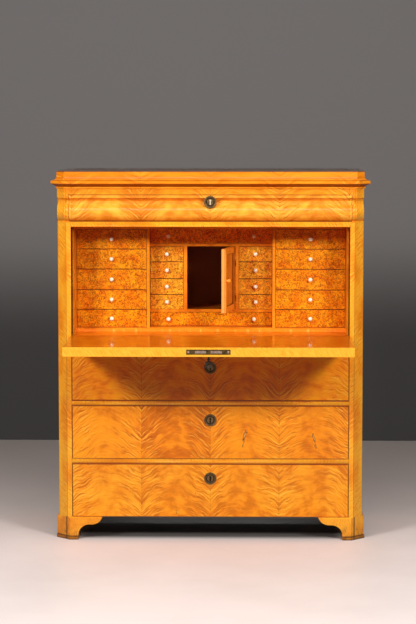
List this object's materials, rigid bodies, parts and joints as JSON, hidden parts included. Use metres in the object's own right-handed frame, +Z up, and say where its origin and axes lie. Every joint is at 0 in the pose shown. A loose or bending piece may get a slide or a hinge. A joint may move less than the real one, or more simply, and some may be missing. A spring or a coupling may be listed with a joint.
{
  "type": "fall front secretaire",
  "caption": "Upright case with a fold-down writing leaf over a nest of small drawers, moulded head drawer, large drawers below and bracket feet.",
  "frame": {"origin": "on the floor, midway across the case and midway between its back and the front edge of the open fall", "axes": "+X to the right as one faces it, +Y from front to back, +Z up"},
  "size_m": [1.207, 0.911, 1.407],
  "materials": {
    "birch_veneer": "french polish",
    "burr_birch": "french polish",
    "pine": "bare, aged",
    "aged_brass": "aged, dull",
    "iron": "dark, oiled",
    "steel": "worn bright"
  },
  "bodies": {
    "case": {"left_side_panel": "birch_veneer", "right_side_panel": "birch_veneer", "left_corner_post": "birch_veneer", "right_corner_post": "birch_veneer", "cornice": "birch_veneer", "top_board": "birch_veneer", "frieze_rail": "birch_veneer", "case_rails": "birch_veneer", "dust_boards": "pine", "drawer_guides": "pine", "writing_deck": "birch_veneer", "back_boards": "pine", "front_feet": "birch_veneer", "rear_feet": "birch_veneer", "nest_case": "birch_veneer", "nest_partitions": "birch_veneer", "case_fittings": "aged_brass"},
    "bottom_drawer": {"bottom_drawer_front": "birch_veneer", "bottom_drawer_box": "pine", "bottom_drawer_lock": "aged_brass"},
    "bottom_drawer_bolt": {"bottom_drawer_bolt": "steel"},
    "middle_drawer": {"middle_drawer_front": "birch_veneer", "middle_drawer_box": "pine", "middle_drawer_lock": "aged_brass"},
    "middle_drawer_bolt": {"middle_drawer_bolt": "steel"},
    "top_drawer": {"top_drawer_front": "birch_veneer", "top_drawer_box": "pine", "top_drawer_lock": "aged_brass"},
    "top_drawer_bolt": {"top_drawer_bolt": "steel"},
    "head_drawer": {"head_drawer_front": "birch_veneer", "head_drawer_box": "pine", "head_drawer_lock": "aged_brass"},
    "head_drawer_bolt": {"head_drawer_bolt": "steel"},
    "left_nest_drawer_1": {"left_nest_drawer_1": "burr_birch"},
    "left_nest_drawer_2": {"left_nest_drawer_2": "burr_birch"},
    "left_nest_drawer_3": {"left_nest_drawer_3": "burr_birch"},
    "left_nest_drawer_4": {"left_nest_drawer_4": "burr_birch"},
    "left_nest_drawer_5": {"left_nest_drawer_5": "burr_birch"},
    "left_small_drawer_1": {"left_small_drawer_1": "burr_birch"},
    "left_small_drawer_2": {"left_small_drawer_2": "burr_birch"},
    "left_small_drawer_3": {"left_small_drawer_3": "burr_birch"},
    "left_small_drawer_4": {"left_small_drawer_4": "burr_birch"},
    "right_nest_drawer_1": {"right_nest_drawer_1": "burr_birch"},
    "right_nest_drawer_2": {"right_nest_drawer_2": "burr_birch"},
    "right_nest_drawer_3": {"right_nest_drawer_3": "burr_birch"},
    "right_nest_drawer_4": {"right_nest_drawer_4": "burr_birch"},
    "right_nest_drawer_5": {"right_nest_drawer_5": "burr_birch"},
    "right_small_drawer_1": {"right_small_drawer_1": "burr_birch"},
    "right_small_drawer_2": {"right_small_drawer_2": "burr_birch"},
    "right_small_drawer_3": {"right_small_drawer_3": "burr_birch"},
    "right_small_drawer_4": {"right_small_drawer_4": "burr_birch"},
    "lower_long_drawer": {"lower_long_drawer": "burr_birch"},
    "upper_long_drawer": {"upper_long_drawer": "burr_birch"},
    "fall": {"fall_panel": "birch_veneer", "fall_pivots": "iron", "fall_lock": "aged_brass"},
    "fall_bolts": {"fall_bolts": "steel"},
    "fall_key": {"fall_key": "steel"},
    "door": {"nest_door": "birch_veneer", "door_hinges": "aged_brass"}
  },
  "joints": [
    {"name": "fall_hinge", "type": "hinge", "parent": "case", "child": "fall", "pos_m": [0, -0.0275, 0.766], "axis": [-1, 0, 0], "range_deg": [0, 90]},
    {"name": "fall_key_turn", "type": "hinge", "parent": "fall", "child": "fall_key", "pos_m": [0, -0.4045, 0.766], "axis": [0, 0, 1], "range_deg": [0, 90]},
    {"name": "fall_bolts_slide", "type": "slide", "parent": "fall", "child": "fall_bolts", "axis": [0, -1, 0], "range_m": [0, 0.009]},
    {"name": "door_hinge", "type": "hinge", "parent": "case", "child": "door", "pos_m": [0.0935, 0.178, 0.98766], "axis": [0, 0, 1], "range_deg": [-80, 20]},
    {"name": "bottom_drawer_slide", "type": "slide", "parent": "case", "child": "bottom_drawer", "axis": [0, 1, 0], "range_m": [-0.32, 0]},
    {"name": "bottom_drawer_bolt_slide", "type": "slide", "parent": "bottom_drawer", "child": "bottom_drawer_bolt", "axis": [0, 0, 1], "range_m": [0, 0.008]},
    {"name": "middle_drawer_slide", "type": "slide", "parent": "case", "child": "middle_drawer", "axis": [0, 1, 0], "range_m": [-0.32, 0]},
    {"name": "middle_drawer_bolt_slide", "type": "slide", "parent": "middle_drawer", "child": "middle_drawer_bolt", "axis": [0, 0, 1], "range_m": [0, 0.008]},
    {"name": "top_drawer_slide", "type": "slide", "parent": "case", "child": "top_drawer", "axis": [0, 1, 0], "range_m": [-0.32, 0]},
    {"name": "top_drawer_bolt_slide", "type": "slide", "parent": "top_drawer", "child": "top_drawer_bolt", "axis": [0, 0, 1], "range_m": [0, 0.008]},
    {"name": "head_drawer_slide", "type": "slide", "parent": "case", "child": "head_drawer", "axis": [0, 1, 0], "range_m": [-0.32, 0]},
    {"name": "head_drawer_bolt_slide", "type": "slide", "parent": "head_drawer", "child": "head_drawer_bolt", "axis": [0, 0, 1], "range_m": [0, 0.008]},
    {"name": "lower_long_drawer_slide", "type": "slide", "parent": "case", "child": "lower_long_drawer", "axis": [0, 1, 0], "range_m": [-0.17, 0]},
    {"name": "upper_long_drawer_slide", "type": "slide", "parent": "case", "child": "upper_long_drawer", "axis": [0, 1, 0], "range_m": [-0.17, 0]},
    {"name": "left_nest_drawer_1_slide", "type": "slide", "parent": "case", "child": "left_nest_drawer_1", "axis": [0, 1, 0], "range_m": [-0.22, 0]},
    {"name": "left_nest_drawer_2_slide", "type": "slide", "parent": "case", "child": "left_nest_drawer_2", "axis": [0, 1, 0], "range_m": [-0.22, 0]},
    {"name": "left_nest_drawer_3_slide", "type": "slide", "parent": "case", "child": "left_nest_drawer_3", "axis": [0, 1, 0], "range_m": [-0.22, 0]},
    {"name": "left_nest_drawer_4_slide", "type": "slide", "parent": "case", "child": "left_nest_drawer_4", "axis": [0, 1, 0], "range_m": [-0.22, 0]},
    {"name": "left_nest_drawer_5_slide", "type": "slide", "parent": "case", "child": "left_nest_drawer_5", "axis": [0, 1, 0], "range_m": [-0.22, 0]},
    {"name": "left_small_drawer_1_slide", "type": "slide", "parent": "case", "child": "left_small_drawer_1", "axis": [0, 1, 0], "range_m": [-0.17, 0]},
    {"name": "left_small_drawer_2_slide", "type": "slide", "parent": "case", "child": "left_small_drawer_2", "axis": [0, 1, 0], "range_m": [-0.17, 0]},
    {"name": "left_small_drawer_3_slide", "type": "slide", "parent": "case", "child": "left_small_drawer_3", "axis": [0, 1, 0], "range_m": [-0.17, 0]},
    {"name": "left_small_drawer_4_slide", "type": "slide", "parent": "case", "child": "left_small_drawer_4", "axis": [0, 1, 0], "range_m": [-0.17, 0]},
    {"name": "right_nest_drawer_1_slide", "type": "slide", "parent": "case", "child": "right_nest_drawer_1", "axis": [0, 1, 0], "range_m": [-0.22, 0]},
    {"name": "right_nest_drawer_2_slide", "type": "slide", "parent": "case", "child": "right_nest_drawer_2", "axis": [0, 1, 0], "range_m": [-0.22, 0]},
    {"name": "right_nest_drawer_3_slide", "type": "slide", "parent": "case", "child": "right_nest_drawer_3", "axis": [0, 1, 0], "range_m": [-0.22, 0]},
    {"name": "right_nest_drawer_4_slide", "type": "slide", "parent": "case", "child": "right_nest_drawer_4", "axis": [0, 1, 0], "range_m": [-0.22, 0]},
    {"name": "right_nest_drawer_5_slide", "type": "slide", "parent": "case", "child": "right_nest_drawer_5", "axis": [0, 1, 0], "range_m": [-0.22, 0]},
    {"name": "right_small_drawer_1_slide", "type": "slide", "parent": "case", "child": "right_small_drawer_1", "axis": [0, 1, 0], "range_m": [-0.17, 0]},
    {"name": "right_small_drawer_2_slide", "type": "slide", "parent": "case", "child": "right_small_drawer_2", "axis": [0, 1, 0], "range_m": [-0.17, 0]},
    {"name": "right_small_drawer_3_slide", "type": "slide", "parent": "case", "child": "right_small_drawer_3", "axis": [0, 1, 0], "range_m": [-0.17, 0]},
    {"name": "right_small_drawer_4_slide", "type": "slide", "parent": "case", "child": "right_small_drawer_4", "axis": [0, 1, 0], "range_m": [-0.17, 0]}
  ],
  "couplings": [
    {"joint": "fall_key_turn", "follows": "fall_bolts_slide", "rad_per_m": 174.53}
  ]
}
